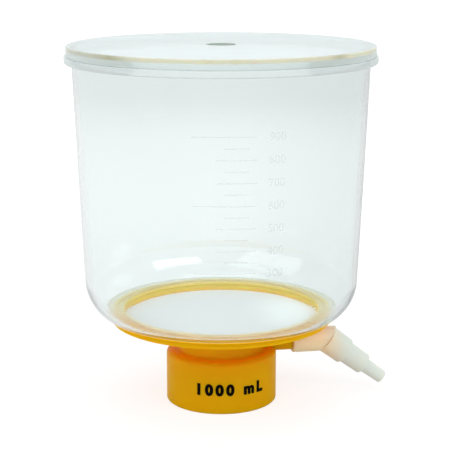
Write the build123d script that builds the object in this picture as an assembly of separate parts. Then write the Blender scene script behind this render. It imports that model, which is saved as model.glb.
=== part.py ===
"""Bottle-top vacuum filter: a clear covered funnel over a 90 mm class membrane, on a threaded base.

Millimetres. +Z is up and is the axis of the funnel, the membrane and the bottle neck. The origin is
the centre of the neck's mouth, in the plane that the base stands on. +X points along the vacuum port.
"""
from build123d import *
from math import atan2, cos, pi, radians, sin, sqrt, tan
import os

# ---- Neck: the skirt that screws onto a bottle, with its gasket ----
NECK_BORE = 21.6             # radius of the wall between the thread's grooves
NECK_DEPTH = 19.2            # length of that wall, from the mouth to the gasket's seat
NECK_WALL = 1.55             # left outside the thread's grooves
THREAD_DEPTH = 1.1
THREAD_PITCH = 4.0
THREAD_MOUTH_WIDTH = 2.0     # of the groove, at the bore
THREAD_ROOT_WIDTH = 1.1      # of the groove, at its bottom
THREAD_END = 15.0            # height above the mouth at which the groove stops
GASKET_THICKNESS = 1.8
GASKET_STEP = 0.4            # the gasket's pocket is this much smaller in radius than the bore
GASKET_PLAY = 0.2            # radial play of the gasket in its pocket
ROOF = 2.0                   # thickness of the plate that closes the skirt
SKIRT_TOP_ROUND = 2.4
SKIRT_FOOT_ROUND = 0.7

# ---- Collar, drip spout and vacuum port ----
COLLAR_RADIUS = 18.5
COLLAR_WALL = 1.8
COLLAR_FOOT_ROUND = 1.0
SPOUT_BORE = 4.0             # radius
SPOUT_WALL = 1.6
SPOUT_CLEAR = 1.0            # how far the spout's tip stays above the gasket's lower face
PORT_RADIUS = 4.15
PORT_BORE = 2.4              # radius
PORT_RISE = 1.3              # height of the port's axis above the skirt
PORT_SETBACK = 6.2           # how far the port's tip stays inside the dish's edge
PORT_TIP_CHAMFER = 0.5

# ---- Membrane and the dish that carries it ----
MEMBRANE_RADIUS = 43.0
MEMBRANE_THICKNESS = 0.15
MEMBRANE_PLAY = 0.2          # radial play of the membrane in its recess
LEDGE_WIDTH = 1.8            # solid ring that the membrane's edge is sealed to
RECESS_DEPTH = 2.65          # from the flange's top down to the ledge
FLANGE_WIDTH = 5.0           # from the recess to the dish's outer edge
FLANGE_THICKNESS = 2.8
FLANGE_LIFT = 14.1           # from the skirt's top to the flange's lower edge
FLANGE_ROUND = 0.35
RIM_SLOPE = 16.0             # degrees, of the dish's underside near its edge
RIM_SLOPE_WIDTH = 8.2
FLOOR_SLOPE = 8.0            # degrees, of the rest of the underside and of the drain floor
DRAIN_EDGE_DEPTH = 0.5       # depth of the drain floor below the ledge, at the ledge
RIDGE_PITCH = 3.2            # concentric ridges that hold the membrane up
RIDGE_WIDTH = 1.2
RIDGE_INNER_RADIUS = 8.6
CHANNELS = 8                 # radial channels through the ridges
CHANNEL_WIDTH = 2.4

# ---- Funnel ----
FUNNEL_HEIGHT = 114.6        # from its foot to the top of its lip
FUNNEL_WALL = 2.0
FUNNEL_FLOOR = 1.8
WALL_DRAFT = 2.36            # degrees, wider towards the top
CORNER_RADIUS = 18.3         # outside radius between the wall and the foot
FOOT_SLOPE = 32.4            # degrees, at which that curve runs out into the flat foot
FOOT_OVERHANG = 2.55         # how far the foot reaches past the dish
FLOOR_EDGE_ROUND = 0.7
WELD_TONGUE_WIDTH = 1.1
WELD_TONGUE_HEIGHT = 1.0
WELD_TONGUE_INSET = 1.9      # from the dish's outer edge to the tongue's outer face
WELD_GAP = 0.1               # left between the foot and the flange beside the weld
WELD_FILM = 0.05             # left all round the tongue in its groove
LIP_HEIGHT = 2.6             # the wall's height above the rim flange
RIM_THICKNESS = 3.0
RIM_OVERHANG = 0.8           # how far the rim flange reaches past the lid
RIM_ROUND = 0.9

# ---- Lid ----
LID_PLATE = 1.6
LID_SKIRT = 1.6
LID_PLAY = 0.5               # radial play between the lip and the lid's skirt
LID_GAP = 0.1                # height at which the lid rides over the lip and the rim flange
LID_ROUND = 0.45
GATE_WELL_RADIUS = 6.0
GATE_WELL_DEPTH = 0.6

# ---- Hose connector ----
SOCKET_PLAY = 0.05           # radial clearance of the socket on the port
SOCKET_WALL = 1.3
SOCKET_DEPTH = 11.3          # from the socket's mouth to its bottom
SOCKET_CHAMFER = 0.6
SOCKET_STOP_GAP = 1.0        # between the port's tip and the bottom of the socket
BEND_RUN = 4.8               # from the bottom of the socket to the bend
BARB_DROP = 37.2             # degrees below the port's axis
BARB_BORE = 1.9              # radius
BARB_STAGES = (              # (start, end, radius at start, radius at end), from the bend
    (0.0, 10.6, 6.25, 6.05),
    (10.6, 21.6, 5.0, 4.7),
    (21.6, 32.7, 3.3, 2.9),
)
BARB_SHOULDER_ROUND = 0.35

# ---- Levels and radii that follow ----
GASKET_TOP = NECK_DEPTH + GASKET_THICKNESS
SKIRT_RADIUS = NECK_BORE + THREAD_DEPTH + NECK_WALL
SKIRT_TOP = GASKET_TOP + ROOF
GASKET_POCKET = NECK_BORE - GASKET_STEP
CAVITY_RADIUS = COLLAR_RADIUS - COLLAR_WALL
PORT_LEVEL = SKIRT_TOP + PORT_RISE
RECESS_RADIUS = MEMBRANE_RADIUS + MEMBRANE_PLAY
DISH_RADIUS = RECESS_RADIUS + FLANGE_WIDTH
FLANGE_BOTTOM = SKIRT_TOP + FLANGE_LIFT
FLANGE_TOP = FLANGE_BOTTOM + FLANGE_THICKNESS
LEDGE_LEVEL = FLANGE_TOP - RECESS_DEPTH
DRAIN_RADIUS = RECESS_RADIUS - LEDGE_WIDTH
PORT_TIP = DISH_RADIUS - PORT_SETBACK
SOCKET_SEAT = PORT_TIP + SOCKET_STOP_GAP
SOCKET_START = SOCKET_SEAT - SOCKET_DEPTH
BEND_DISTANCE = SOCKET_SEAT + BEND_RUN
FOOT_LEVEL = FLANGE_TOP + WELD_GAP
FOOT_RADIUS = DISH_RADIUS + FOOT_OVERHANG
LIP_TOP = FOOT_LEVEL + FUNNEL_HEIGHT
RIM_TOP = LIP_TOP - LIP_HEIGHT
RIM_BOTTOM = RIM_TOP - RIM_THICKNESS
CORNER_CENTRE_RADIUS = FOOT_RADIUS - CORNER_RADIUS * sin(radians(FOOT_SLOPE))
CORNER_CENTRE_LEVEL = FOOT_LEVEL + CORNER_RADIUS * cos(radians(FOOT_SLOPE))
LID_BOTTOM = RIM_TOP + LID_GAP
LID_TOP = LIP_TOP + LID_GAP + LID_PLATE


def wall_radius(level, inset=0.0):
    """Radius of the funnel's straight wall at a level, inset from its outer face."""
    draft = radians(WALL_DRAFT)
    tangent_radius = CORNER_CENTRE_RADIUS + CORNER_RADIUS * cos(draft)
    tangent_level = CORNER_CENTRE_LEVEL - CORNER_RADIUS * sin(draft)
    return tangent_radius + (level - tangent_level) * tan(draft) - inset / cos(draft)


def underside_level(radius):
    """Level of the dish's underside: steeper in a ring near the edge, gentler inside it."""
    knee_radius = DISH_RADIUS - RIM_SLOPE_WIDTH
    knee_level = FLANGE_BOTTOM - RIM_SLOPE_WIDTH * tan(radians(RIM_SLOPE))
    if radius >= knee_radius:
        return FLANGE_BOTTOM - (DISH_RADIUS - radius) * tan(radians(RIM_SLOPE))
    return knee_level - (knee_radius - radius) * tan(radians(FLOOR_SLOPE))


def drain_level(radius):
    """Level of the drain floor, which falls towards the spout."""
    return LEDGE_LEVEL - DRAIN_EDGE_DEPTH - (DRAIN_RADIUS - radius) * tan(radians(FLOOR_SLOPE))


def rounded(face, roundings):
    """Round the corners of an outline: each entry is (radius, level, size)."""
    for radius, level, size in roundings:
        corner = face.vertices().sort_by_distance(Plane.XZ.from_local_coords(Vector(radius, level, 0)))[0]
        face = fillet(corner, size)
    return face


def turned(outline, roundings=()):
    """A solid turned about Z from an outline of (radius, level) points."""
    face = Plane.XZ * make_face(Polyline(*outline, close=True))
    return revolve(rounded(face, roundings), Axis.Z)


def ring(inner, outer, bottom, top):
    """A plain ring about Z."""
    return turned([(inner, bottom), (outer, bottom), (outer, top), (inner, top)])


def make_lid():
    """Cover with a short skirt outside the funnel's lip and a gate well at its centre."""
    inner = wall_radius(LIP_TOP) + LID_PLAY
    outer = inner + LID_SKIRT
    plate_bottom = LID_TOP - LID_PLATE
    outline = [
        (0, plate_bottom), (inner, plate_bottom), (inner, LID_BOTTOM), (outer, LID_BOTTOM), (outer, LID_TOP),
        (GATE_WELL_RADIUS, LID_TOP), (GATE_WELL_RADIUS, LID_TOP - GATE_WELL_DEPTH),
        (0, LID_TOP - GATE_WELL_DEPTH),
    ]
    return turned(outline, [(outer, LID_TOP, LID_ROUND), (outer, LID_BOTTOM, LID_ROUND)])


def make_funnel():
    """Clear drafted vessel with a rim flange, a curved lower corner and a foot welded to the dish."""
    draft = radians(WALL_DRAFT)
    slope = radians(FOOT_SLOPE)
    centre = Vector(CORNER_CENTRE_RADIUS, CORNER_CENTRE_LEVEL)
    rim_radius = wall_radius(LIP_TOP) + LID_PLAY + LID_SKIRT + RIM_OVERHANG
    inner_corner = CORNER_RADIUS - FUNNEL_WALL
    floor_level = FOOT_LEVEL + FUNNEL_FLOOR
    floor_drop = CORNER_CENTRE_LEVEL - floor_level
    floor_radius = CORNER_CENTRE_RADIUS + sqrt(inner_corner ** 2 - floor_drop ** 2)

    def on_corner(size, angle):
        """Point of the corner's curve, by the angle below level."""
        return centre + Vector(size * cos(angle), -size * sin(angle))

    outer_start = on_corner(CORNER_RADIUS, draft)
    outer_end = on_corner(CORNER_RADIUS, pi / 2 - slope)
    inner_start = on_corner(inner_corner, draft)
    inner_end = Vector(floor_radius, floor_level)
    inner_middle_angle = (draft + atan2(floor_drop, floor_radius - CORNER_CENTRE_RADIUS)) / 2
    outside = [
        (wall_radius(LIP_TOP), LIP_TOP), (wall_radius(RIM_TOP), RIM_TOP), (rim_radius, RIM_TOP),
        (rim_radius, RIM_BOTTOM), (wall_radius(RIM_BOTTOM), RIM_BOTTOM), outer_start,
    ]
    face = make_face([
        Polyline(*outside),
        ThreePointArc(outer_start, on_corner(CORNER_RADIUS, (draft + pi / 2 - slope) / 2), outer_end),
        Polyline(outer_end, (RECESS_RADIUS, FOOT_LEVEL), (RECESS_RADIUS, floor_level), inner_end),
        ThreePointArc(inner_end, on_corner(inner_corner, inner_middle_angle), inner_start),
        Polyline(inner_start, (wall_radius(LIP_TOP, FUNNEL_WALL), LIP_TOP), outside[0]),
    ])
    body = revolve(rounded(Plane.XZ * face, [
        (rim_radius, RIM_TOP, RIM_ROUND / 2), (rim_radius, RIM_BOTTOM, RIM_ROUND),
        (RECESS_RADIUS, floor_level, FLOOR_EDGE_ROUND),
    ]), Axis.Z)
    tongue_outer = DISH_RADIUS - WELD_TONGUE_INSET
    return body + ring(tongue_outer - WELD_TONGUE_WIDTH, tongue_outer,
                       FOOT_LEVEL - WELD_TONGUE_HEIGHT, FOOT_LEVEL + FUNNEL_FLOOR / 2)


def make_membrane():
    """Thin disc, sealed to the ledge at its edge and held up by the ridges."""
    return Pos(0, 0, LEDGE_LEVEL) * extrude(Circle(MEMBRANE_RADIUS), MEMBRANE_THICKNESS)


def make_ridges():
    """Concentric ridges with radial channels through them, standing on the drain floor."""
    deep = drain_level(SPOUT_BORE)
    ridges = Part()
    radius = RIDGE_INNER_RADIUS
    while radius + RIDGE_WIDTH + RIDGE_PITCH / 4 < DRAIN_RADIUS:
        ridges += ring(radius, radius + RIDGE_WIDTH, deep, LEDGE_LEVEL)
        radius += RIDGE_PITCH
    channel = Pos(0, 0, deep) * Box(DRAIN_RADIUS, CHANNEL_WIDTH, LEDGE_LEVEL - deep,
                                    align=(Align.MIN, Align.CENTER, Align.MIN))
    for index in range(CHANNELS):
        ridges -= Rot(0, 0, 360 * (index + 0.5) / CHANNELS) * channel
    return ridges


def make_thread_groove():
    """The space a bottle's thread takes: a right-hand groove that runs out through the neck's mouth."""
    run_out = THREAD_PITCH / 2
    helix = Helix(THREAD_PITCH, THREAD_END + run_out, NECK_BORE, center=(0, 0, -run_out))
    inside = THREAD_DEPTH / 4
    mouth = THREAD_MOUTH_WIDTH / 2
    root = THREAD_ROOT_WIDTH / 2
    open_end = mouth + (mouth - root) * inside / THREAD_DEPTH
    section = make_face(Polyline((-inside, open_end), (THREAD_DEPTH, root), (THREAD_DEPTH, -root),
                                 (-inside, -open_end), close=True))
    start = Plane(origin=helix @ 0, x_dir=(1, 0, 0), z_dir=helix % 0)
    return sweep(start * section, path=helix, is_frenet=True)


def make_base():
    """One moulding: threaded skirt, collar, dish with its drain, drip spout and vacuum port."""
    knee_radius = DISH_RADIUS - RIM_SLOPE_WIDTH
    spout_radius = SPOUT_BORE + SPOUT_WALL
    spout_tip = NECK_DEPTH + SPOUT_CLEAR
    step = SKIRT_RADIUS - COLLAR_RADIUS
    skirt_round = min(SKIRT_TOP_ROUND, 0.6 * step)
    collar_round = min(COLLAR_FOOT_ROUND, 0.3 * step)
    outline = [
        (NECK_BORE, 0), (SKIRT_RADIUS, 0), (SKIRT_RADIUS, SKIRT_TOP), (COLLAR_RADIUS, SKIRT_TOP),
        (COLLAR_RADIUS, underside_level(COLLAR_RADIUS)), (knee_radius, underside_level(knee_radius)),
        (DISH_RADIUS, FLANGE_BOTTOM), (DISH_RADIUS, FLANGE_TOP), (RECESS_RADIUS, FLANGE_TOP),
        (RECESS_RADIUS, LEDGE_LEVEL), (DRAIN_RADIUS, LEDGE_LEVEL), (DRAIN_RADIUS, drain_level(DRAIN_RADIUS)),
        (SPOUT_BORE, drain_level(SPOUT_BORE)), (SPOUT_BORE, spout_tip), (spout_radius, spout_tip),
        (spout_radius, underside_level(spout_radius)), (CAVITY_RADIUS, underside_level(CAVITY_RADIUS)),
        (CAVITY_RADIUS, GASKET_TOP), (GASKET_POCKET, GASKET_TOP), (GASKET_POCKET, NECK_DEPTH),
        (NECK_BORE, NECK_DEPTH),
    ]
    body = turned(outline, [
        (SKIRT_RADIUS, 0, SKIRT_FOOT_ROUND), (SKIRT_RADIUS, SKIRT_TOP, skirt_round),
        (COLLAR_RADIUS, SKIRT_TOP, collar_round), (DISH_RADIUS, FLANGE_BOTTOM, FLANGE_ROUND),
        (DISH_RADIUS, FLANGE_TOP, FLANGE_ROUND), (RECESS_RADIUS, FLANGE_TOP, FLANGE_ROUND),
    ])
    groove_outer = DISH_RADIUS - WELD_TONGUE_INSET + WELD_FILM
    groove_inner = groove_outer - WELD_TONGUE_WIDTH - 2 * WELD_FILM
    groove_bottom = FOOT_LEVEL - WELD_TONGUE_HEIGHT - WELD_FILM
    body -= ring(groove_inner, groove_outer, groove_bottom, FOOT_LEVEL)
    drain = turned([(SPOUT_BORE, drain_level(SPOUT_BORE)), (DRAIN_RADIUS, drain_level(DRAIN_RADIUS)),
                    (DRAIN_RADIUS, LEDGE_LEVEL), (SPOUT_BORE, LEDGE_LEVEL)])
    body += make_ridges() & drain
    body -= make_thread_groove()

    along_port = Plane(origin=(0, 0, PORT_LEVEL), x_dir=(0, 1, 0), z_dir=(1, 0, 0))
    mid_collar = COLLAR_RADIUS - COLLAR_WALL / 2
    tube = along_port.offset(mid_collar) * extrude(Circle(PORT_RADIUS), PORT_TIP - mid_collar)
    tube = chamfer(tube.edges().sort_by(Axis.X)[-1], PORT_TIP_CHAMFER)
    tube -= ring(0, GASKET_POCKET, 0, GASKET_TOP) + ring(0, NECK_BORE, 0, NECK_DEPTH)
    bore = along_port.offset(spout_radius + SPOUT_WALL) * extrude(Circle(PORT_BORE), PORT_TIP)
    return body + tube - bore


def make_bottle_gasket():
    """Flat ring that the bottle's lip seals against."""
    return ring(CAVITY_RADIUS + GASKET_PLAY, GASKET_POCKET - GASKET_PLAY, NECK_DEPTH, GASKET_TOP)


def make_hose_connector():
    """Elbow that turns on the port: a plain socket, then three tapered stages for hoses of three bores."""
    port_axis = Plane(origin=(0, 0, PORT_LEVEL), x_dir=(0, 1, 0), z_dir=(1, 0, 0))
    drop = radians(BARB_DROP)
    bend = Vector(BEND_DISTANCE, 0, PORT_LEVEL)
    barb_axis = Plane(origin=bend, x_dir=(0, 1, 0), z_dir=(cos(drop), 0, -sin(drop)))
    socket_bore = PORT_RADIUS + SOCKET_PLAY
    socket_radius = socket_bore + SOCKET_WALL
    barb_length = BARB_STAGES[-1][1]

    stages = [(0, 0)]
    for start, end, start_radius, end_radius in BARB_STAGES:
        stages += [(start_radius, start), (end_radius, end)]
    stages.append((0, barb_length))
    profile = make_face(Polyline(*stages, close=True))
    shoulders = [(end_radius, end) for start, end, start_radius, end_radius in BARB_STAGES]
    for radius, place in shoulders:
        corner = profile.vertices().sort_by_distance(Vector(radius, place, 0))[0]
        profile = fillet(corner, BARB_SHOULDER_ROUND)
    barb = revolve(profile, Axis.Y)
    barb = barb_axis * Rot(90, 0, 0) * barb

    run = BEND_DISTANCE - SOCKET_START
    socket = port_axis.offset(SOCKET_START) * extrude(Circle(socket_radius), run + socket_radius)
    socket = chamfer(socket.edges().sort_by(Axis.X)[0], SOCKET_CHAMFER)
    socket -= barb_axis * extrude(Rectangle(4 * socket_radius, 4 * socket_radius), 2 * socket_radius)
    body = socket + barb

    body -= port_axis.offset(SOCKET_START) * extrude(Circle(socket_bore), SOCKET_DEPTH)
    body -= port_axis.offset(SOCKET_SEAT) * extrude(Circle(PORT_BORE), BEND_RUN)
    body -= Pos(bend) * Sphere(PORT_BORE)
    body -= barb_axis * extrude(Circle(BARB_BORE), barb_length)
    return body


PARTS = {
    "lid": make_lid,
    "funnel": make_funnel,
    "membrane": make_membrane,
    "base": make_base,
    "bottle_gasket": make_bottle_gasket,
    "hose_connector": make_hose_connector,
}

os.makedirs("parts", exist_ok=True)
for name, make in PARTS.items():
    export_step(make(), f"parts/{name}.step")
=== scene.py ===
"""The looks of a bottle-top vacuum filter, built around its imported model.

Metres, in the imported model's frame: +Z up the filter's axis, +X along the vacuum port, -Y the printed
front. The origin is the centre of the bottle neck's mouth. Sizes that a docstring gives in millimetres
are turned into metres where they are used.
"""
import logging
import math
from contextlib import contextmanager
from dataclasses import dataclass, field, replace
from enum import Enum
from typing import Callable, Iterator, Sequence, Union

import bpy
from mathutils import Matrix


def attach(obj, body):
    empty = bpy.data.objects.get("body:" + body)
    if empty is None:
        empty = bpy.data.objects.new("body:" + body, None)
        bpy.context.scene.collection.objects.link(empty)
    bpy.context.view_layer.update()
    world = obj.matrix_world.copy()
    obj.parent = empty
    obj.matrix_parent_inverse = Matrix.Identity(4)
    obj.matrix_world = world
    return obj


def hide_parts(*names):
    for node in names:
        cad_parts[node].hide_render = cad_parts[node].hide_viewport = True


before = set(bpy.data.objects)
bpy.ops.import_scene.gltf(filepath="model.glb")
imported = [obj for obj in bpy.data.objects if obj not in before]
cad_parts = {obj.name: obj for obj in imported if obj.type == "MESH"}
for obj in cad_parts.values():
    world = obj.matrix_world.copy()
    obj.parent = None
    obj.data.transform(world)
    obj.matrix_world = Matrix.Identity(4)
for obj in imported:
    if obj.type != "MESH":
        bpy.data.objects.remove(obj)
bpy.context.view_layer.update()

MM = 0.001
LOG = logging.getLogger("filter")

Colour = tuple[float, float, float]
Point = tuple[float, float]
Span = tuple[float, float]
Piece = bpy.types.Object
Material = bpy.types.Material
Group = bpy.types.NodeTree
Node = bpy.types.Node
Socket = bpy.types.NodeSocket
Value = Union[float, Socket]


class Body(Enum):
    """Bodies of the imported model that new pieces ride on."""

    FILTER = "filter"
    LID = "lid"


class Slot(Enum):
    """Material slots of the record that new pieces take."""

    LID = "clear_lid"
    FUNNEL = "clear_funnel"
    BASE = "yellow_base"


# ---------------- node trees


class Tree:
    """A node tree with short calls that add and join its nodes."""

    def __init__(self, tree: Group) -> None:
        """Take over a tree and empty it.

        Args:
            tree: the material's, world's or group's node tree.
        """
        self.tree = tree
        self.tree.nodes.clear()

    def add(self, kind: str, **settings: object) -> Node:
        """Add a node and set its properties and sockets.

        Args:
            kind: the node's class name, without "ShaderNode" where it starts so.
            settings: properties and sockets by name, with underscores for a socket's spaces.

        Returns:
            The new node.
        """
        known = kind if kind.startswith("NodeGroup") else "ShaderNode" + kind
        node = self.tree.nodes.new(known)
        for name, value in settings.items():
            if hasattr(node, name):
                setattr(node, name, value)
            else:
                self.feed(node.inputs[name.replace("_", " ")], value)
        return node

    def feed(self, socket: Socket, value: object) -> None:
        """Join an output to a socket, or set the socket's own value.

        Args:
            socket: the input.
            value: an output, a number, or a colour or vector.
        """
        if isinstance(value, Socket):
            self.tree.links.new(value, socket)
        elif isinstance(value, tuple) and len(value) == 3 and socket.type == "RGBA":
            socket.default_value = (*value, 1.0)
        else:
            socket.default_value = value

    def maths(self, operation: str, *values: Value, clamp: bool = False) -> Socket:
        """Add a Math node.

        Args:
            operation: the node's operation.
            values: its one to three inputs, each a number or an output.
            clamp: whether the result is held between 0 and 1.

        Returns:
            The node's output.
        """
        node = self.add("Math", operation=operation, use_clamp=clamp)
        for socket, value in zip(node.inputs, values):
            self.feed(socket, value)
        return node.outputs[0]

    def total(self, *shares: tuple[Socket, Value]) -> Socket:
        """Add up values, each times its own weight.

        Args:
            shares: (weight, value) of each.

        Returns:
            The sum's output.
        """
        whole: Value = 0.0
        for weight, value in shares:
            whole = self.maths("MULTIPLY_ADD", weight, value, whole)
        return whole

    def ease(self, value: Socket, reach: Span, low: float = 0.0, high: float = 1.0) -> Socket:
        """Change smoothly from one strength to another.

        Args:
            value: what the change follows.
            reach: its values where the change starts and ends.
            low: the strength before it.
            high: the strength after it.

        Returns:
            The strength's output.
        """
        return self.add("MapRange", interpolation_type="SMOOTHSTEP", Value=value, From_Min=reach[0],
                        From_Max=reach[1], To_Min=low, To_Max=high).outputs[0]

    def blend(self, factor: Value, first: Union[Colour, Socket], second: Union[Colour, Socket]) -> Socket:
        """Mix two colours.

        Args:
            factor: 0 for the first alone, 1 for the second.
            first: a colour or an output.
            second: another.

        Returns:
            The mixed colour's output.
        """
        node = self.add("Mix", data_type="RGBA", clamp_factor=True)
        self.feed(node.inputs["Factor"], factor)
        for socket, colour in zip(node.inputs[6:8], (first, second)):
            self.feed(socket, colour)
        return node.outputs[2]

    def layer(self, factor: Socket, under: Node, over: Node) -> Socket:
        """Mix two shaders.

        Args:
            factor: 0 for the one under, 1 for the one over it.
            under: a shader.
            over: another.

        Returns:
            The mixed shader's output.
        """
        mix = self.add("MixShader")
        for socket, value in zip(mix.inputs, (factor, under.outputs[0], over.outputs[0])):
            self.feed(socket, value)
        return mix.outputs[0]

    def place(self) -> Socket:
        """The piece's own coordinates, in metres in the model's frame."""
        return self.add("TexCoord").outputs["Object"]

    def noise(self, vector: Socket, scale: Value, detail: float, stretch: Sequence[float] = ()) -> Socket:
        """Noise between 0 and 1.

        Args:
            vector: the coordinates that it follows.
            scale: cells per metre.
            detail: octaves of finer noise.
            stretch: scale along each axis, before the noise, if it is stretched.

        Returns:
            The noise's value.
        """
        if stretch:
            vector = self.add("Mapping", Vector=vector, Scale=stretch).outputs[0]
        return self.add("TexNoise", Vector=vector, Scale=scale, Detail=detail).outputs["Fac"]


SOCKET_KINDS = {"Place": "Vector", "Color": "Color", "Deeper": "Color"}      # the others are numbers


def new_group(name: str, takes: Sequence[str],
              gives: Sequence[str]) -> tuple[Tree, bpy.types.NodeOutputs, bpy.types.NodeInputs]:
    """Start a shader node group.

    Args:
        name: the group's name.
        takes: the names of its inputs.
        gives: the names of its outputs.

    Returns:
        The group's tree, what it is given and what it puts out.
    """
    group = bpy.data.node_groups.new(name, "ShaderNodeTree")
    for labels, side in ((takes, "INPUT"), (gives, "OUTPUT")):
        for label in labels:
            kind = "NodeSocket" + SOCKET_KINDS.get(label, "Float")
            group.interface.new_socket(name=label, in_out=side, socket_type=kind)
    tree = Tree(group)
    return tree, tree.add("NodeGroupInput").outputs, tree.add("NodeGroupOutput").inputs


PATCH_SCALE = 45.0                   # cells per metre of the patches that were handled smoother
SCUFF_SCALE = 900.0                  # of the short streaks over them
SCUFF_STRETCH = (1.0, 1.0, 0.12)     # the streaks run up the piece
SCUFF_SHARE = 0.35                   # of the streaks in the roughness, against the patches


def build_moulded_skin() -> Group:
    """Surface of a moulding: a fine grain, a slow unevenness and patches handled smoother.

    Returns:
        A group that gives Roughness and Height.
    """
    tree, given, out = new_group("moulded_skin", (
        "Place", "Roughness", "Spread", "Grain Scale", "Grain", "Ripple Scale", "Ripple"),
        ("Roughness", "Height"))
    place = given["Place"]
    patches = tree.noise(place, PATCH_SCALE, 3.0)
    scuffs = tree.noise(place, SCUFF_SCALE, 2.0, SCUFF_STRETCH)
    mixed = tree.maths("MULTIPLY_ADD", scuffs, SCUFF_SHARE,
                       tree.maths("MULTIPLY", patches, 1.0 - SCUFF_SHARE))
    swing = tree.maths("SUBTRACT", mixed, 0.5)
    rough = tree.maths("MULTIPLY_ADD", swing, given["Spread"], given["Roughness"])
    tree.feed(out["Roughness"], tree.maths("MAXIMUM", rough, 0.0, clamp=True))
    grain, ripple = (tree.maths("MULTIPLY", tree.noise(place, given[name + " Scale"], detail), given[name])
                     for name, detail in (("Grain", 2.0), ("Ripple", 1.0)))
    tree.feed(out["Height"], tree.maths("ADD", grain, ripple))
    return tree.tree


def build_tone_drift() -> Group:
    """Slow change of a colour over a piece, as the pigment and the wall's thickness give it.

    Returns:
        A group that gives Color.
    """
    tree, given, out = new_group("tone_drift", ("Place", "Color", "Deeper", "Scale", "Amount"), ("Color",))
    wave = tree.noise(given["Place"], given["Scale"], 3.0)
    share = tree.maths("MULTIPLY", wave, given["Amount"], clamp=True)
    tree.feed(out["Color"], tree.blend(share, given["Color"], given["Deeper"]))
    return tree.tree


def build_ring_mask() -> Group:
    """Mask of a ring about the filter's axis, between two radii and two levels, or of a part of its turn.

    Returns:
        A group that gives Mask, 1 inside the ring.
    """
    tree, given, out = new_group("ring_mask", (
        "Place", "Inner", "Outer", "Low", "High", "Softness", "Turn", "Half Width", "Turn Softness"),
        ("Mask",))
    across, deep, level = tree.add("SeparateXYZ", Vector=given["Place"]).outputs
    radius = tree.maths("SQRT", tree.maths(
        "ADD", tree.maths("POWER", across, 2.0), tree.maths("POWER", deep, 2.0)))
    turn = tree.maths("ARCTAN2", across, tree.maths("MULTIPLY", deep, -1.0))
    off = tree.maths("ABSOLUTE", tree.maths("SUBTRACT", turn, given["Turn"]))

    def above(value: Socket, edge: Socket, softness: str = "Softness") -> Socket:
        """1 where a value is past an edge, with one of the group's softnesses."""
        past = tree.maths("DIVIDE", tree.maths("SUBTRACT", value, edge), given[softness])
        return tree.maths("ADD", past, 0.5, clamp=True)

    mask = above(radius, given["Inner"])
    for share in (above(given["Outer"], radius), above(level, given["Low"]), above(given["High"], level),
                  above(given["Half Width"], off, "Turn Softness")):
        mask = tree.maths("MULTIPLY", mask, share)
    tree.feed(out["Mask"], mask)
    return tree.tree


@dataclass
class Effects:
    """The node groups that the finishes share."""

    skin: Group = field(default_factory=build_moulded_skin)
    drift: Group = field(default_factory=build_tone_drift)
    ring: Group = field(default_factory=build_ring_mask)


# ---------------- finishes


class Coat(Tree):
    """A new material's tree, with its shader, its output and the piece's own coordinates."""

    def __init__(self, name: str, effects: Effects) -> None:
        """Start a material.

        Args:
            name: the material's name.
            effects: the shared node groups.
        """
        self.material = bpy.data.materials.new(name)
        self.material.use_nodes = True
        super().__init__(self.material.node_tree)
        self.effects = effects
        self.shader = self.add("BsdfPrincipled")
        self.out = self.add("OutputMaterial")
        self.where = self.place()


@dataclass(frozen=True)
class Grain:
    """How a moulding's skin looks.

    Attributes:
        roughness: the skin's own, which patches and streaks swing by the spread.
        grain: height of the fine grain, as a share of the bump.
        ripple: height of the slow unevenness, as a share of it.
        bump: height of the whole, in metres.
        grain_scale: cells per metre of the grain, as ripple_scale is of the unevenness.
    """

    roughness: float
    spread: float = 0.1
    grain: float = 0.1
    ripple: float = 0.6
    bump: float = 0.00001
    grain_scale: float = 3000.0
    ripple_scale: float = 60.0

    def dress(self, coat: Coat) -> None:
        """Feed a material's Roughness and Normal from this skin.

        Args:
            coat: the material.
        """
        skin = coat.add("Group", node_tree=coat.effects.skin, Place=coat.where, Roughness=self.roughness,
                        Spread=self.spread, Grain_Scale=self.grain_scale, Grain=self.grain,
                        Ripple_Scale=self.ripple_scale, Ripple=self.ripple)
        coat.feed(coat.shader.inputs["Roughness"], skin.outputs["Roughness"])
        bump = coat.add("Bump", Strength=1.0, Distance=self.bump, Height=skin.outputs["Height"])
        coat.feed(coat.shader.inputs["Normal"], bump.outputs[0])


@dataclass(frozen=True)
class Zone:
    """A ring about the filter's axis, or a part of its turn, with another tone, which the finishes use for
    real tones and for painted light and shade. Millimetres and degrees.
    """

    colour: Colour
    inner: float = -10.0
    outer: float = 500.0
    low: float = -500.0
    high: float = 500.0
    softness: float = 1.0
    turn: float = 0.0
    half_width: float = 400.0
    turn_softness: float = 1.0

    def over(self, coat: Coat, tone: Socket) -> Socket:
        """Blend this zone's colour over a tone.

        Args:
            coat: the material.
            tone: the colour under it.

        Returns:
            The blended colour.
        """
        ring = coat.add("Group", node_tree=coat.effects.ring, Place=coat.where, Inner=self.inner * MM,
                        Outer=self.outer * MM, Low=self.low * MM, High=self.high * MM,
                        Softness=self.softness * MM, Turn=math.radians(self.turn),
                        Half_Width=math.radians(self.half_width),
                        Turn_Softness=math.radians(self.turn_softness))
        return coat.blend(ring.outputs["Mask"], tone, self.colour)


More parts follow.
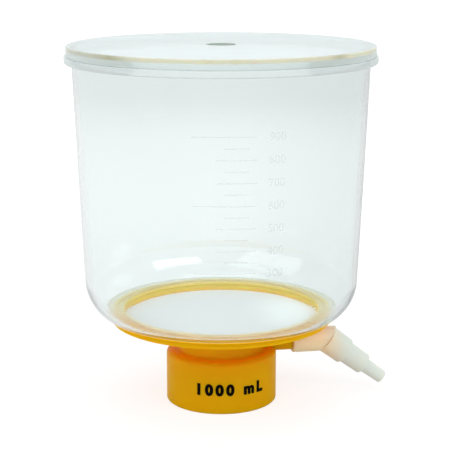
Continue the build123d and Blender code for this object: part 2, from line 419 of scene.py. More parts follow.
@dataclass(frozen=True, kw_only=True)
class Finish:
    """What every finish has.

    Attributes:
        deeper: the tone that the colour drifts to, as far as drift says.
        grain: its skin.
        drift_scale: cells per metre of the drift.
        zones: rings with other tones, each over those before it.
    """

    name: str
    colour: Colour
    deeper: Colour
    grain: Grain
    drift_scale: float = 40.0
    drift: float = 0.5
    refraction: float = 1.53
    zones: tuple[Zone, ...] = ()

    def constants(self) -> dict[str, object]:
        """The shader's plain values, by socket."""
        return {"IOR": self.refraction}

    def surface(self, coat: Coat) -> Socket:
        """What the material shows, which is its shader alone."""
        return coat.shader.outputs[0]

    def make(self, effects: Effects) -> Material:
        """Build the material.

        Args:
            effects: the shared node groups.

        Returns:
            The material.
        """
        coat = Coat(self.name, effects)
        tone = coat.add("Group", node_tree=effects.drift, Place=coat.where, Color=self.colour,
                        Deeper=self.deeper, Scale=self.drift_scale, Amount=self.drift).outputs["Color"]
        for zone in self.zones:
            tone = zone.over(coat, tone)
        coat.feed(coat.shader.inputs["Base Color"], tone)
        for name, value in self.constants().items():
            coat.shader.inputs[name].default_value = value
        self.grain.dress(coat)
        coat.feed(coat.out.inputs["Surface"], self.surface(coat))
        return coat.material


@dataclass(frozen=True, kw_only=True)
class ClearPlastic(Finish):
    """Clear polystyrene. Lamps reach through it, dimmed by its shade."""

    shade: Colour
    drift_scale: float = 22.0
    drift: float = 0.8
    refraction: float = 1.59

    def constants(self) -> dict[str, object]:
        """The shader's plain values, by socket."""
        return {**super().constants(), "Transmission Weight": 1.0}

    def surface(self, coat: Coat) -> Socket:
        """The shader, but for a lamp's rays a plain tinted window."""
        window = coat.add("BsdfTransparent", Color=self.shade)
        return coat.layer(coat.add("LightPath").outputs["Is Shadow Ray"], coat.shader, window)


@dataclass(frozen=True, kw_only=True)
class Moulded(Finish):
    """An opaque or milky moulded plastic or rubber.

    Attributes:
        glow: how much light wanders inside it.
        glow_depth: how far each colour of light wanders, as shares of glow_scale, in metres.
        shine: strength of its gloss.
        cover: how much it hides what lies behind it.
    """

    glow: float = 0.0
    glow_depth: Colour = (1.0, 0.5, 0.2)
    glow_scale: float = 0.002
    shine: float = 0.5
    cover: float = 1.0

    def constants(self) -> dict[str, object]:
        """The shader's plain values, by socket."""
        return {**super().constants(), "Subsurface Weight": self.glow, "Subsurface Radius": self.glow_depth,
                "Subsurface Scale": self.glow_scale, "Specular IOR Level": self.shine, "Alpha": self.cover}


@dataclass(frozen=True, kw_only=True)
class Ink(Moulded):
    """Printed ink: a thin flat film, a little uneven."""

    grain: Grain = Grain(roughness=0.45, spread=0.2, grain=0.6, ripple=0.2, bump=0.00002)
    drift_scale: float = 1500.0
    refraction: float = 1.5
    shine: float = 0.3


class Finishes:
    """Every finish of the filter, made once."""

    def __init__(self) -> None:
        """Build the materials."""
        effects = Effects()
        gloss = Grain(roughness=0.02, spread=0.03, grain=0.0, ripple=1.0, ripple_scale=45.0)
        self.clear_funnel = ClearPlastic(
            name="clear_funnel", colour=(0.94, 0.98, 0.975), deeper=(0.925, 0.97, 0.965),
            shade=(0.90, 0.94, 0.93), grain=gloss).make(effects)
        self.clear_lid = ClearPlastic(
            name="clear_lid", colour=(0.855, 0.98, 0.998), deeper=(0.835, 0.97, 0.988),
            shade=(0.92, 0.95, 0.94), grain=gloss).make(effects)
        # Painted light on the lid's edge: a khaki tone for the light that the plate gathers and shows there,
        # with painted shade in darker patches round its turn.
        self.lid_edge = Moulded(
            name="lid_edge", colour=(0.70, 0.71, 0.56), deeper=(0.56, 0.56, 0.43), drift_scale=60.0,
            drift=0.8, grain=Grain(roughness=0.12), glow=0.5, glow_scale=0.001, shine=0.3, zones=(
                Zone((0.50, 0.52, 0.43), turn=-72.0, half_width=27.0, turn_softness=14.0),
                Zone((0.42, 0.43, 0.30), turn=-51.5, half_width=4.0, turn_softness=9.0),
                Zone((0.46, 0.47, 0.34), turn=35.5, half_width=2.5, turn_softness=6.0),
                *(Zone((0.62, 0.62, 0.46), turn=turn, half_width=1.3, turn_softness=3.0)
                  for turn in (-13.7, -4.5)))).make(effects)
        # Painted light on the funnel's rim flange and the lid's skirt: a pale, nearly opaque tone stands in
        # for the bright surround that the clear plastic would show, and hides dark inner reflections.
        pale_painted_light = Moulded(
            name="rim_edge", colour=(0.67, 0.735, 0.73), deeper=(0.62, 0.685, 0.68), drift_scale=60.0,
            drift=0.6, grain=Grain(roughness=0.2), shine=0.4, cover=0.85)
        self.rim_edge = pale_painted_light.make(effects)
        self.skirt_edge = replace(pale_painted_light, name="skirt_edge", colour=(0.64, 0.71, 0.685),
                                  deeper=(0.60, 0.67, 0.65), cover=0.7).make(effects)
        # Painted shade in the lid's gate well: an opaque dark grey-green stands in for how the well darkens
        # what shows through the lid.
        self.gate_floor = Moulded(
            name="gate_floor", colour=(0.38, 0.45, 0.40), deeper=(0.33, 0.39, 0.35), drift_scale=300.0,
            drift=0.8, grain=Grain(roughness=0.6, spread=0.2, grain=0.8, bump=0.00003),
            shine=0.05).make(effects)
        self.yellow = Moulded(
            name="yellow_abs", colour=(0.69, 0.358, 0.0005), deeper=(0.655, 0.33, 0.0003),
            grain=Grain(roughness=0.36, spread=0.12, grain=0.5, bump=0.00003), glow=0.65,
            glow_depth=(1.0, 0.22, 0.01), glow_scale=0.009, shine=0.05, zones=(
                # Painted light on the base: a deep orange under the dish and a warmer orange on the collar
                # stand in for the light that bounces and shines through the dish into that shade; a lighter,
                # yellower ring sits on the flange's outer edge; the recess wall gets a brighter painted
                # light.
                Zone((1.0, 0.20, 0.0002), inner=25.0, low=27.0, high=36.6, softness=0.8),
                Zone((1.0, 0.42, 0.0003), outer=22.5, low=21.0, high=36.6, softness=1.5),
                Zone((0.73, 0.42, 0.0005), inner=47.6, low=36.8, softness=0.3),
                Zone((1.0, 0.57, 0.11), inner=42.9, outer=43.5, low=37.1, high=40.1, softness=0.2),
            )).make(effects)
        # The funnel's seat: partly the base's yellow as it shows through the clear foot, partly painted
        # reflection set by the view: deeper gold at the inner edge, paler at the front and sides, whitish on
        # the overhang, a deep gold band at the front.
        self.weld = Moulded(
            name="weld_line", colour=(1.0, 0.80, 0.32), deeper=(0.98, 0.77, 0.29),
            grain=Grain(roughness=0.4, grain=0.2, ripple=0.3), shine=0.0, zones=(
                Zone((0.83, 0.60, 0.15), outer=43.6, softness=0.6),
                Zone((1.0, 0.88, 0.58), turn=-9.0, half_width=93.0, turn_softness=20.0),
                Zone((0.97, 0.93, 0.85), inner=48.4, softness=0.8),
                Zone((0.95, 0.50, 0.001), inner=45.0, softness=3.6, turn=-12.0, half_width=68.0,
                     turn_softness=36.0))).make(effects)
        self.milky = Moulded(
            name="natural_polypropylene", colour=(0.69, 0.745, 0.685), deeper=(0.655, 0.71, 0.64),
            grain=Grain(roughness=0.38, grain=0.4, ripple=0.5, bump=0.00002), refraction=1.49,
            glow=0.7, glow_depth=(1.0, 0.9, 0.75), glow_scale=0.0025, shine=0.3,
            # A warm tint painted near the base: painted light for the yellow glow that shines through and
            # bounces onto the milky elbow.
            zones=(Zone((0.85, 0.72, 0.47), outer=50.0, softness=12.0),)).make(effects)
        self.silicone = Moulded(
            name="silicone", colour=(0.78, 0.78, 0.75), deeper=(0.70, 0.70, 0.67),
            grain=Grain(roughness=0.5, spread=0.15, grain=0.5, ripple=0.5, bump=0.00002), refraction=1.41,
            glow=0.4, glow_scale=0.002).make(effects)
        self.membrane = Moulded(
            name="membrane", colour=(0.80, 0.785, 0.79), deeper=(0.78, 0.765, 0.77),
            grain=Grain(roughness=0.75, grain=1.0, ripple=0.3, bump=0.00002, grain_scale=6000.0),
            drift_scale=25.0, shine=0.2, zones=(
                # A painted pool of light on the membrane's right side.
                Zone((0.93, 0.925, 0.93), inner=21.0, softness=14.0, turn=88.0, half_width=38.0,
                     turn_softness=40.0),)).make(effects)
        self.black_ink = Ink(name="black_ink", colour=(0.003, 0.002, 0.002),
                             deeper=(0.006, 0.004, 0.003), shine=0.05).make(effects)
        self.scale_ink = Ink(name="scale_ink", colour=(0.50, 0.54, 0.53),
                             deeper=(0.60, 0.64, 0.63), cover=0.13).make(effects)


# ---------------- shaping


def clear_selection() -> None:
    """Leave nothing selected, so that an operator acts on the new piece alone."""
    if bpy.context.object and bpy.context.object.mode != "OBJECT":
        bpy.ops.object.mode_set(mode="OBJECT")
    bpy.ops.object.select_all(action="DESELECT")


def pick(piece: Piece) -> None:
    """Select one piece and make it the active one."""
    clear_selection()
    piece.select_set(True)
    bpy.context.view_layer.objects.active = piece


@contextmanager
def editing(piece: Piece) -> Iterator[None]:
    """Edit one piece's mesh, all of it selected, and leave edit mode after it.

    Args:
        piece: the only piece that is edited.
    """
    pick(piece)
    bpy.ops.object.mode_set(mode="EDIT")
    bpy.ops.mesh.select_all(action="SELECT")
    yield
    bpy.ops.object.mode_set(mode="OBJECT")


def named(piece: Piece, name: str) -> Piece:
    """Name a piece and its mesh, and return it."""
    piece.name = name
    piece.data.name = name
    return piece


def settle(piece: Piece) -> None:
    """Apply a piece's place, turn and scale, so that its object sits at the origin."""
    pick(piece)
    bpy.ops.object.transform_apply(location=True, rotation=True, scale=True)


def tidy_mesh(piece: Piece, merge: float = 1e-6) -> None:
    """Merge doubled points and point every face outwards.

    Args:
        piece: a closed mesh.
        merge: how near two points are merged, in metres.
    """
    with editing(piece):
        bpy.ops.mesh.remove_doubles(threshold=merge)
        bpy.ops.mesh.normals_make_consistent(inside=False)


def smooth(piece: Piece, degrees: float = 30.0) -> None:
    """Shade a piece smooth, but for edges sharper than an angle."""
    pick(piece)
    bpy.ops.object.shade_smooth_by_angle(angle=math.radians(degrees))


def dress(piece: Piece, material: Material) -> None:
    """Give a piece one material."""
    piece.data.materials.clear()
    piece.data.materials.append(material)


def finish_piece(piece: Piece, material: Material, body: Body) -> None:
    """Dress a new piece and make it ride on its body.

    Args:
        piece: the finished mesh.
        material: its material.
        body: the body that it rides on.
    """
    dress(piece, material)
    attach(piece, body.value)
    LOG.info("%s: %d faces on %s", piece.name, len(piece.data.polygons), body.value)


def arc(centre: Point, radius: float, start: float, end: float, steps: int) -> list[Point]:
    """Points along an arc of an outline.

    Args:
        centre: (radius from the axis, level) of its centre, in millimetres.
        radius: its size, in millimetres.
        start: angle of its first point in degrees, from straight outwards, turning up.
        end: angle of its last point.
        steps: how many lengths it is divided into.

    Returns:
        The points, both ends included.
    """
    turns = [math.radians(start + (end - start) * step / steps) for step in range(steps + 1)]
    return [(centre[0] + radius * math.cos(turn), centre[1] + radius * math.sin(turn)) for turn in turns]


def held(outline: Sequence[Point], reach: float = 0.12, least: float = 0.6) -> list[Point]:
    """Add a point near both ends of each long run, so that its shading stays flat up to the rounds.

    Args:
        outline: (radius, level) points of a closed outline, in millimetres.
        reach: distance of the new points from the run's ends.
        least: shortest run that gets them.

    Returns:
        The outline with its new points.
    """
    points: list[Point] = []
    for start, end in zip(outline, [*outline[1:], outline[0]]):
        points.append(start)
        length = math.dist(start, end)
        if length > least and (start[0] > 0.0 or end[0] > 0.0):
            for share in (reach / length, 1 - reach / length):
                points.append((start[0] + share * (end[0] - start[0]),
                               start[1] + share * (end[1] - start[1])))
    return points


def spin(name: str, outline: Sequence[Point], steps: int) -> Piece:
    """Spin a closed outline round the filter's axis.

    Args:
        name: the piece's name.
        outline: (radius, level) points in order, in millimetres.
        steps: how many facets go round.

    Returns:
        The closed piece, its seam and pole merged and its faces outwards.
    """
    clear_selection()
    bpy.ops.mesh.primitive_circle_add(vertices=len(outline), radius=1.0, fill_type="NOTHING")
    piece = named(bpy.context.object, name)
    for vertex, (radius, level) in zip(piece.data.vertices, outline):
        vertex.co = (radius * MM, 0.0, level * MM)
    with editing(piece):
        bpy.ops.mesh.spin(steps=steps, angle=2 * math.pi, center=(0, 0, 0), axis=(0, 0, 1))
    tidy_mesh(piece)
    smooth(piece)
    return piece


def wrap(piece: Piece, radius_at: Callable[[float], float], turn: float) -> None:
    """Wrap a flat piece that stands in the XZ plane round the filter's axis.

    Args:
        piece: its X runs along the surface, its Z is the level and its -Y the height above the surface.
        radius_at: the surface's radius at a level, in metres.
        turn: angle of the piece's own X = 0, in radians from -Y towards +X.
    """
    for vertex in piece.data.vertices:
        along, outward, level = vertex.co.x, -vertex.co.y, vertex.co.z
        radius = radius_at(level) + outward
        angle = turn + along / radius_at(level)
        vertex.co = (radius * math.sin(angle), -radius * math.cos(angle), level)
    piece.data.update()


@dataclass
class Print:
    """Printing on a round wall: figures and lines that are a thin film of ink. Millimetres.

    Attributes:
        radius_at: the wall's radius at a level, both in metres.
        lift: from the wall to the film, and film is its thickness.
        capital: height of a capital figure, as a share of the font's size.
        figure_step: greatest length of a figure's faces along the wall, as bar_step is of a line's.
        bar_bevel: width of a line's bevelled edges, as a share of the film.
        pieces: the marks made so far.
    """

    radius_at: Callable[[float], float]
    lift: float = 0.01
    film: float = 0.04
    capital: float = 0.7
    curve_steps: int = 4
    figure_step: float = 0.6
    bar_step: float = 1.5
    bar_bevel: float = 0.3
    pieces: list[Piece] = field(default_factory=list)

    @property
    def middle(self) -> float:
        """Height of the film's middle above the wall, in metres."""
        return (self.lift + self.film / 2) * MM

    def figures(self, text: str, height: float, level: float, turn: float, bold: float = 0.0,
                spacing: float = 1.0) -> None:
        """Add figures centred on an angle.

        Args:
            text: what is printed.
            height: of a capital figure, in millimetres.
            level: of the figures' middle, in millimetres.
            turn: angle of the text's centre, in degrees from -Y towards +X.
            bold: how far each stroke is thickened, in millimetres.
            spacing: distance between figures, as a share of the font's own.
        """
        clear_selection()
        bpy.ops.object.text_add(location=(0, 0, 0))
        letters = bpy.context.object.data
        letters.body = text
        letters.size = height * MM / self.capital
        letters.align_x = "CENTER"
        letters.offset = bold * MM
        letters.space_character = spacing
        letters.resolution_u = self.curve_steps
        letters.extrude = self.film * MM / 2
        bpy.ops.object.convert(target="MESH")
        piece = bpy.context.object
        piece.rotation_euler = (math.radians(90), 0, 0)
        piece.location = (0, -self.middle, (level - height / 2) * MM)
        settle(piece)
        self.lay_round(piece, self.figure_step, turn)

    def bar(self, start: float, end: float, level: float, thickness: float) -> None:
        """Add a level line.

        Args:
            start: angle of its left end, in degrees from -Y towards +X.
            end: angle of its right end.
            level: of its middle, in millimetres.
            thickness: from its lower to its upper edge, in millimetres.
        """
        length = math.radians(end - start) * self.radius_at(level * MM)
        clear_selection()
        bpy.ops.mesh.primitive_cube_add(size=1, location=(0, -self.middle, level * MM))
        piece = bpy.context.object
        piece.scale = (length, self.film * MM, thickness * MM)
        settle(piece)
        with editing(piece):
            bpy.ops.mesh.bevel(offset=self.bar_bevel * self.film * MM, segments=1, affect="EDGES")
        self.lay_round(piece, self.bar_step, (start + end) / 2)

    def lay_round(self, piece: Piece, longest: float, turn: float) -> None:
        """Cut a flat mark across its length, lay it round the wall and keep it.

        Args:
            piece: the mark, standing in the XZ plane.
            longest: greatest length of its faces along the wall, in millimetres.
            turn: angle of its X = 0, in degrees from -Y towards +X.
        """
        step = longest * MM
        places = [vertex.co.x for vertex in piece.data.vertices]
        left, right = min(places), max(places)
        with editing(piece):
            for index in range(1, int((right - left) / step) + 1):
                bpy.ops.mesh.select_all(action="SELECT")
                bpy.ops.mesh.bisect(plane_co=(left + index * step, 0, 0), plane_no=(1, 0, 0))
        wrap(piece, self.radius_at, math.radians(turn))
        self.pieces.append(piece)

    def joined(self, name: str) -> Piece:
        """Join all the marks into one piece.

        Args:
            name: the piece's name.

        Returns:
            The piece, with its doubles merged and its faces outwards.
        """
        clear_selection()
        for piece in self.pieces:
            piece.select_set(True)
        bpy.context.view_layer.objects.active = self.pieces[0]
        if len(self.pieces) > 1:
            bpy.ops.object.join()
        whole = named(bpy.context.object, name)
        tidy_mesh(whole)
        return whole


# ---------------- the filter


@dataclass
class Part:
    """A sub-assembly, with the finishes that it takes its own from. Millimetres.

    Attributes:
        steps: facets round a spun piece.
        small_steps: lengths in a small round of its outline.
        near: how far past a painted ring's limits a point still counts.
    """

    finishes: Finishes
    steps: int = 192
    small_steps: int = 4
    near: float = 0.05

    def paint(self, piece: Piece, material: Material, radii: Span, levels: Span) -> int:
        """Give another material to the faces that lie in a ring about the axis.

        Args:
            piece: the piece, with its main material in place.
            material: what those faces get.
            radii: least and greatest radius of a face's points.
            levels: least and greatest level.

        Returns:
            How many faces were given it.
        """
        if material.name not in piece.data.materials:
            piece.data.materials.append(material)
        index = piece.data.materials.find(material.name)
        within = []
        for vertex in piece.data.vertices:
            places = math.hypot(vertex.co.x, vertex.co.y) / MM, vertex.co.z / MM
            within.append(all(least - self.near <= place <= most + self.near
                              for place, (least, most) in zip(places, (radii, levels))))
        faces = [face for face in piece.data.polygons if all(within[corner] for corner in face.vertices)]
        for face in faces:
            face.material_index = index
        return len(faces)


@dataclass
class Vessel(Part):
    """The clear funnel, with the volume scale on its front. Millimetres and degrees.

    Attributes:
        foot_edge: how far past the foot the seat's paint, with its painted reflection, reaches.
        seat_outer: outer edge of the welded ring.
        tongue: inner radius, outer radius and level of the tongue in the base's groove.
        corner: radius of the curve from the foot, at foot_slope, to the wall.
        lip_height: from the rim flange up to the lip.
        lowest_mark: the lowest line's volume in millilitres; each next adds mark_step.
        long_every: one line in so many is long.
    """

    foot_level: float = 40.0
    foot_inner: float = 43.2
    foot_outer: float = 50.75
    foot_edge: float = 1.15
    seat_outer: float = 48.2
    tongue: tuple[float, float, float] = (45.2, 46.3, 39.0)
    floor: float = 1.8
    floor_round: float = 0.7
    wall: float = 2.0
    draft: float = 2.36
    corner: float = 18.3
    foot_slope: float = 32.4
    lip_level: float = 154.6
    lip_height: float = 2.6
    lip_round: float = 0.3
    rim_outer: float = 66.25
    rim_thickness: float = 3.0
    rim_round: float = 0.9
    rim_top_round: float = 0.2
    corner_steps: int = 14
    rim_steps: int = 6
    floor_steps: int = 5
    lowest_mark: int = 300
    mark_step: int = 100
    marks: int = 7
    long_every: int = 3
    lowest_level: float = 71.7
    pitch: float = 9.1
    mark_end: float = 3.6
    long_start: float = -20.0
    medium_start: float = -11.4
    short_span: tuple[float, float] = (-8.4, 0.6)
    figure_turn: float = 11.2
    figure_height: float = 3.3
    line: float = 0.4
    name: str = "funnel_shell"
    scale_name: str = "volume_scale"

    @property
    def corner_centre(self) -> Point:
        """Centre of the curve between the wall and the foot."""
        slope = math.radians(self.foot_slope)
        return (self.foot_outer - self.corner * math.sin(slope),
                self.foot_level + self.corner * math.cos(slope))

    @property
    def rim_top(self) -> float:
        """Level of the rim flange's upper face."""
        return self.lip_level - self.lip_height

    def wall_radius(self, level: float, inset: float = 0.0) -> float:
        """Radius of the straight wall.

        Args:
            level: where it is wanted.
            inset: how far inside the outer face.

        Returns:
            The radius, in millimetres.
        """
        draft = math.radians(self.draft)
        radius, centre_level = self.corner_centre
        tangent_level = centre_level - self.corner * math.sin(draft)
        tangent_radius = radius + self.corner * math.cos(draft)
        return tangent_radius + (level - tangent_level) * math.tan(draft) - inset / math.cos(draft)

    def outline(self) -> list[Point]:
        """The wall's section, from the foot's inner edge round the outside and back down the inside.

        Returns:
            Its (radius, level) points.
        """
        tongue_inner, tongue_outer, tongue_level = self.tongue
        floor_level = self.foot_level + self.floor
        rim_top, rim_bottom = self.rim_top, self.rim_top - self.rim_thickness
        inner_corner = self.corner - self.wall
        inner_slope = math.degrees(math.asin((self.corner_centre[1] - floor_level) / inner_corner))
        edge, small, inner_edge = self.rim_round, self.rim_top_round, self.floor_round
        lip, cut = self.lip_level, self.lip_round
        lip_outer, lip_inner = self.wall_radius(lip), self.wall_radius(lip, self.wall)
        return [
            (self.foot_inner, self.foot_level), (tongue_inner, self.foot_level), (tongue_inner, tongue_level),
            (tongue_outer, tongue_level), (tongue_outer, self.foot_level), (self.seat_outer, self.foot_level),
            *arc(self.corner_centre, self.corner, self.foot_slope - 90, -self.draft, self.corner_steps),
            (self.wall_radius(rim_bottom), rim_bottom),
            *arc((self.rim_outer - edge, rim_bottom + edge), edge, -90, 0, self.rim_steps),
            *arc((self.rim_outer - small, rim_top - small), small, 0, 90, self.small_steps),
            (self.wall_radius(rim_top), rim_top),
            *arc((lip_outer - cut, lip - cut), cut, 0, 90, self.small_steps),
            *arc((lip_inner + cut, lip - cut), cut, 90, 180, self.small_steps),
            *arc(self.corner_centre, inner_corner, -self.draft, -inner_slope, self.corner_steps),
            *arc((self.foot_inner + inner_edge, floor_level - inner_edge), inner_edge, 90, 180,
                 self.floor_steps),
        ]

    def make_shell(self) -> None:
        """Spin the funnel, one closed shell. Where it is welded, and on its foot's overhang, it is painted
        with the base's colour under painted reflection; its rim flange is painted pale, as painted light.
        """
        shell = spin(self.name, held(self.outline()), self.steps)
        finish_piece(shell, self.finishes.clear_funnel, Body.FILTER)
        welded = self.paint(shell, self.finishes.weld, (self.foot_inner, self.seat_outer),
                            (self.tongue[2], self.foot_level + self.floor - self.floor_round))
        welded += self.paint(shell, self.finishes.weld, (self.seat_outer, self.foot_outer + self.foot_edge),
                             (self.foot_level, self.foot_level + self.foot_edge))
        rim = self.paint(shell, self.finishes.rim_edge, (self.wall_radius(self.lip_level), self.rim_outer),
                         (self.rim_top - self.rim_thickness, self.rim_top))
        LOG.info("%s: %d welded faces, %d rim faces", self.name, welded, rim)
        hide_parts("funnel")

    def make_scale(self) -> None:
        """Print the volume scale on the wall: a line every 50 mL, figures every 100 mL."""
        scale = Print(radius_at=lambda level: self.wall_radius(level / MM) * MM, film=0.02)
        for index in range(self.marks):
            level = self.lowest_level + index * self.pitch
            start = self.medium_start if index % self.long_every else self.long_start
            volume = self.lowest_mark + index * self.mark_step
            scale.bar(start, self.mark_end, level, self.line)
            scale.figures(str(volume), self.figure_height, level, self.figure_turn)
            if index < self.marks - 1:
                scale.bar(*self.short_span, level + self.pitch / 2, self.line)
        finish_piece(scale.joined(self.scale_name), self.finishes.scale_ink, Body.FILTER)

    def build(self) -> None:
        """Make the funnel and print its scale."""
        self.make_shell()
        self.make_scale()


@dataclass
class Base(Part):
    """The yellow base, with the figures on its skirt. Millimetres."""

    skirt_radius: float = 24.25
    print_level: float = 11.0
    print_height: float = 4.6
    bold: float = 0.42
    spacing: float = 1.4
    text: str = "1000 mL"
    name: str = "skirt_print"

    def build(self) -> None:
        """Dress the base, its gasket and its membrane, and print the skirt."""
        for node, finish in (("base", self.finishes.yellow), ("bottle_gasket", self.finishes.silicone),
                             ("membrane", self.finishes.membrane)):
            dress(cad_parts[node], finish)
        band = Print(radius_at=lambda level: self.skirt_radius * MM)
        band.figures(self.text, self.print_height, self.print_level, 0.0, self.bold, self.spacing)
        finish_piece(band.joined(self.name), self.finishes.black_ink, Body.FILTER)


@dataclass
class Lid(Part):
    """The clear lid, whose edge is painted with the light that its plate gathers, and with painted shade.
    Millimetres.

    Attributes:
        plate: its thickness, as skirt is that of the skirt under its edge.
        edge_band: height of the edge that is painted with light.
        well_radius: of the shallow well round the rest of the gate.
    """

    top: float = 156.3
    bottom: float = 152.1
    plate: float = 1.6
    outer: float = 65.45
    skirt: float = 1.6
    edge_round: float = 0.45
    bottom_round: float = 0.08
    inner_round: float = 0.3
    edge_band: float = 1.75
    well_radius: float = 6.0
    well_depth: float = 0.6
    gate_radius: float = 1.1
    gate_height: float = 0.3
    edge_steps: int = 5
    near: float = 0.02
    name: str = "lid_shell"

    def outline(self) -> list[Point]:
        """The lid's section, from the axis under the plate, round the skirt and back over the top.

        Returns:
            Its (radius, level) points.
        """
        under = self.top - self.plate
        inner = self.outer - self.skirt
        floor = self.top - self.well_depth
        big, small, low = self.edge_round, self.inner_round, self.bottom_round
        steps = self.small_steps
        return [
            (0.0, under),
            *arc((inner - small, under - small), small, 90, 0, steps),
            (inner, self.bottom),
            *arc((self.outer - low, self.bottom + low), low, -90, 0, steps),
            (self.outer, self.top - self.edge_band),
            *arc((self.outer - big, self.top - big), big, 0, 90, self.edge_steps),
            *arc((self.well_radius + small, self.top - small), small, 90, 180, steps),
            *arc((self.well_radius - small, floor + small), small, 0, -90, steps),
            (self.gate_radius + small / 2, floor), (self.gate_radius, floor + self.gate_height),
            (0.0, floor + self.gate_height),
        ]

    def build(self) -> None:
        """Spin the lid, paint light on its edge and its skirt, and paint shade in its gate well."""
        shell = spin(self.name, held(self.outline()), self.steps)
        finish_piece(shell, self.finishes.clear_lid, Body.LID)
        edge = self.paint(shell, self.finishes.lid_edge, (self.outer - self.edge_round, self.outer),
                          (self.top - self.edge_band, self.top))
        well = self.paint(shell, self.finishes.gate_floor, (0.0, self.well_radius + self.inner_round),
                          (self.top - self.well_depth, self.top))
        skirt = self.paint(shell, self.finishes.skirt_edge, (self.outer - self.bottom_round, self.outer),
                           (self.bottom, self.top - self.edge_band))
        LOG.info("%s: %d edge faces, %d well faces, %d skirt faces", self.name, edge, well, skirt)
        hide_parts("lid")


@dataclass
class HoseConnector(Part):
    """The milky elbow on the vacuum port."""

    def build(self) -> None:
        """Dress the connector."""
        dress(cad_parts["hose_connector"], self.finishes.milky)


# ---------------- the studio


@dataclass
class Viewpoint:
    """The camera, in metres and degrees, with its lens and sensor in millimetres."""

    place: tuple[float, float, float] = (-0.0941, -0.5661, 0.2068)
    below_level: float = 12.638
    heading: float = -9.6
    lens: float = 108.24
    sensor: float = 36.0
    nearest: float = 0.01

    def build(self) -> None:
        """Add the camera and look through it."""
        clear_selection()
        bpy.ops.object.camera_add(
            location=self.place,
            rotation=(math.radians(90.0 - self.below_level), 0.0, math.radians(self.heading)))
        camera = bpy.context.object
        camera.name = "camera"
        camera.data.sensor_width = self.sensor
        camera.data.lens = self.lens
        camera.data.clip_start = self.nearest
        bpy.context.scene.camera = camera


@dataclass
class Lamp:
    """A soft rectangular lamp that looks at the filter. Metres and watts."""

    name: str
    place: tuple[float, float, float]
    power: float
    width: float
    height: float
    target: tuple[float, float, float] = (0.0, 0.0, 0.08)

    def build(self) -> None:
        """Add the lamp."""
        clear_selection()
        bpy.ops.object.light_add(type="AREA", location=self.place)
        lamp = bpy.context.object
        lamp.name = self.name
        lamp.data.shape = "RECTANGLE"
        lamp.data.energy = self.power
        lamp.data.size = self.width
        lamp.data.size_y = self.height
        right, deep, up = (goal - start for goal, start in zip(self.target, self.place))
        tilt = math.atan2(math.hypot(right, deep), -up)
        lamp.rotation_euler = (tilt, 0.0, math.atan2(deep, right) - math.pi / 2)


def mirror_ray(tree: Tree, rays: bpy.types.NodeOutputs) -> Socket:
    """1 for rays from gloss alone, and not for rays that a clear wall lets through."""
    return tree.maths("SUBTRACT", rays["Is Glossy Ray"], rays["Is Transmission Ray"], clamp=True)


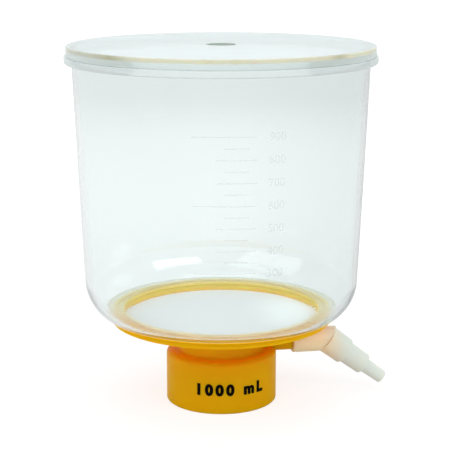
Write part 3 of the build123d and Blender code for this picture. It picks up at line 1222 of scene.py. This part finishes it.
@dataclass
class Studio:
    """Soft pale studio: a white surround that is dark in front, a pale floor and three soft lamps.

    A reach is where a change starts and ends, in metres or as a part of a direction, from -1 to 1.

    Attributes:
        ambient: the surround's strength on matt faces.
        front_dark: what gloss shows in front, as gloss_white is behind and above_glow overhead.
        white: what clear walls let through near the filter, further off, and far away.
        behind_reach: from in front to behind on the surround, as front_reach is on the floor.
        side_dark: how much the floor darkens towards +X.
        floor_glow: share of the floor's own light near the filter, where a shadow shows.
        floor_white: the floor's strength to the eye.
        through_glow: least share of that light through clear walls.
    """

    ambient: float = 0.66
    front_dark: float = 0.18
    white: tuple[float, float, float] = (1.03, 1.08, 0.895)
    white_reach: tuple[Span, Span] = ((0.2, 0.42), (0.6, 1.1))
    gloss_white: float = 1.055
    behind_reach: Span = (-0.75, 0.35)
    above_reach: Span = (0.15, 0.8)
    above_glow: float = 0.8
    side_dark: float = 0.10
    side_reach: Span = (0.12, 0.45)
    mirror_tone: Colour = (0.96, 1.0, 1.0)
    floor_size: float = 16.0
    floor_glow: float = 0.66
    floor_white: float = 1.14
    floor_colour: Colour = (0.9, 0.9, 0.9)
    through_glow: float = 0.88
    shadow_reach: Span = (0.25, 0.9)
    front_reach: Span = (-0.6, 1.3)
    lamps: Sequence[Lamp] = (
        Lamp("left_softbox", (-1.0, -0.53, 0.75), 7.1, 1.5, 1.5),
        Lamp("right_softbox", (0.72, -0.92, 0.80), 6.0, 1.1, 0.55),
        Lamp("top_softbox", (0.0, 0.3, 1.3), 2.5, 0.9, 0.9),
    )

    def tone(self, tree: Tree, mirror: Socket) -> Socket:
        """White, but the mirror tone in gloss."""
        return tree.blend(mirror, (1.0, 1.0, 1.0), self.mirror_tone)

    def surround(self) -> None:
        """Add the surround: white to the eye, dimmer on matt faces, dark in front in gloss."""
        world = bpy.data.worlds.new("surround")
        bpy.context.scene.world = world
        world.use_nodes = True
        tree = Tree(world.node_tree)
        rays = tree.add("LightPath").outputs
        mirror = mirror_ray(tree, rays)
        _, deep, up = tree.add("SeparateXYZ", Vector=tree.add("TexCoord").outputs["Generated"]).outputs
        behind = tree.ease(deep, self.behind_reach, self.front_dark, self.gloss_white)
        above = tree.ease(up, self.above_reach, 0.0, self.above_glow)
        strength = tree.total((mirror, tree.maths("MAXIMUM", behind, above)),
                              (rays["Is Transmission Ray"], self.white[2]),
                              (rays["Is Camera Ray"], 1.0), (rays["Is Diffuse Ray"], self.ambient))
        light = tree.add("Background", Color=self.tone(tree, mirror), Strength=strength)
        out = tree.add("OutputWorld")
        tree.feed(out.inputs["Surface"], light.outputs[0])

    def floor_through(self, tree: Tree, distance: Socket, side: Socket) -> Socket:
        """The floor's strength behind clear walls.

        Args:
            tree: the floor's tree.
            distance: from the filter's foot.
            side: the darkening towards +X.

        Returns:
            The strength, brightest a little away from the filter.
        """
        through: Value = self.white[0]
        for reach, before, after in zip(self.white_reach, self.white, self.white[1:]):
            through = tree.maths("MULTIPLY_ADD", tree.ease(distance, reach), after - before, through)
        return tree.maths("MULTIPLY", through, side)

    def floor(self) -> None:
        """Add a plain pale floor, with the filter's shadow near it and white far away."""
        clear_selection()
        bpy.ops.mesh.primitive_plane_add(size=self.floor_size, location=(0, 0, 0))
        piece = named(bpy.context.object, "floor")
        material = bpy.data.materials.new("floor")
        material.use_nodes = True
        tree = Tree(material.node_tree)
        rays = tree.add("LightPath").outputs
        mirror = mirror_ray(tree, rays)
        place = tree.place()
        right, deep, _ = tree.add("SeparateXYZ", Vector=place).outputs
        reach = tree.add("VectorMath", operation="LENGTH")
        tree.feed(reach.inputs[0], place)
        distance = reach.outputs["Value"]
        front = tree.ease(tree.maths("DIVIDE", deep, distance), self.front_reach, self.front_dark)
        side = tree.ease(tree.maths("DIVIDE", right, distance), self.side_reach, 1.0, 1.0 - self.side_dark)
        strength = tree.total((mirror, tree.maths("MULTIPLY", front, side)),
                              (rays["Is Transmission Ray"], self.floor_through(tree, distance, side)),
                              (rays["Is Camera Ray"], self.floor_white))
        glow = tree.add("Emission", Color=self.tone(tree, mirror), Strength=strength)
        matt = tree.add("BsdfDiffuse", Color=self.floor_colour)
        near = tree.add("MapRange", Value=tree.ease(distance, self.shadow_reach), To_Min=self.floor_glow,
                        To_Max=1.0).outputs[0]
        clear = tree.maths("MAXIMUM", near, self.through_glow)
        share = tree.maths("MAXIMUM", tree.maths("MULTIPLY", rays["Is Camera Ray"], near),
                           tree.maths("MULTIPLY", rays["Is Transmission Ray"], clear))
        out = tree.add("OutputMaterial")
        tree.feed(out.inputs["Surface"], tree.layer(tree.maths("MAXIMUM", share, mirror), matt, glow))
        dress(piece, material)

    def build(self) -> None:
        """Add the surround, the floor and the lamps."""
        self.surround()
        self.floor()
        for lamp in self.lamps:
            lamp.build()


def main() -> None:
    """Build the view, the studio and every part of the filter."""
    logging.basicConfig(level=logging.INFO, format="%(name)s: %(message)s")
    bpy.context.scene.view_settings.view_transform = "Standard"
    Viewpoint().build()
    Studio().build()
    finishes = Finishes()
    for part in (Base, Vessel, Lid, HoseConnector):
        part(finishes).build()
        LOG.info("%s is done", part.__name__)


if __name__ == "__main__":
    main()
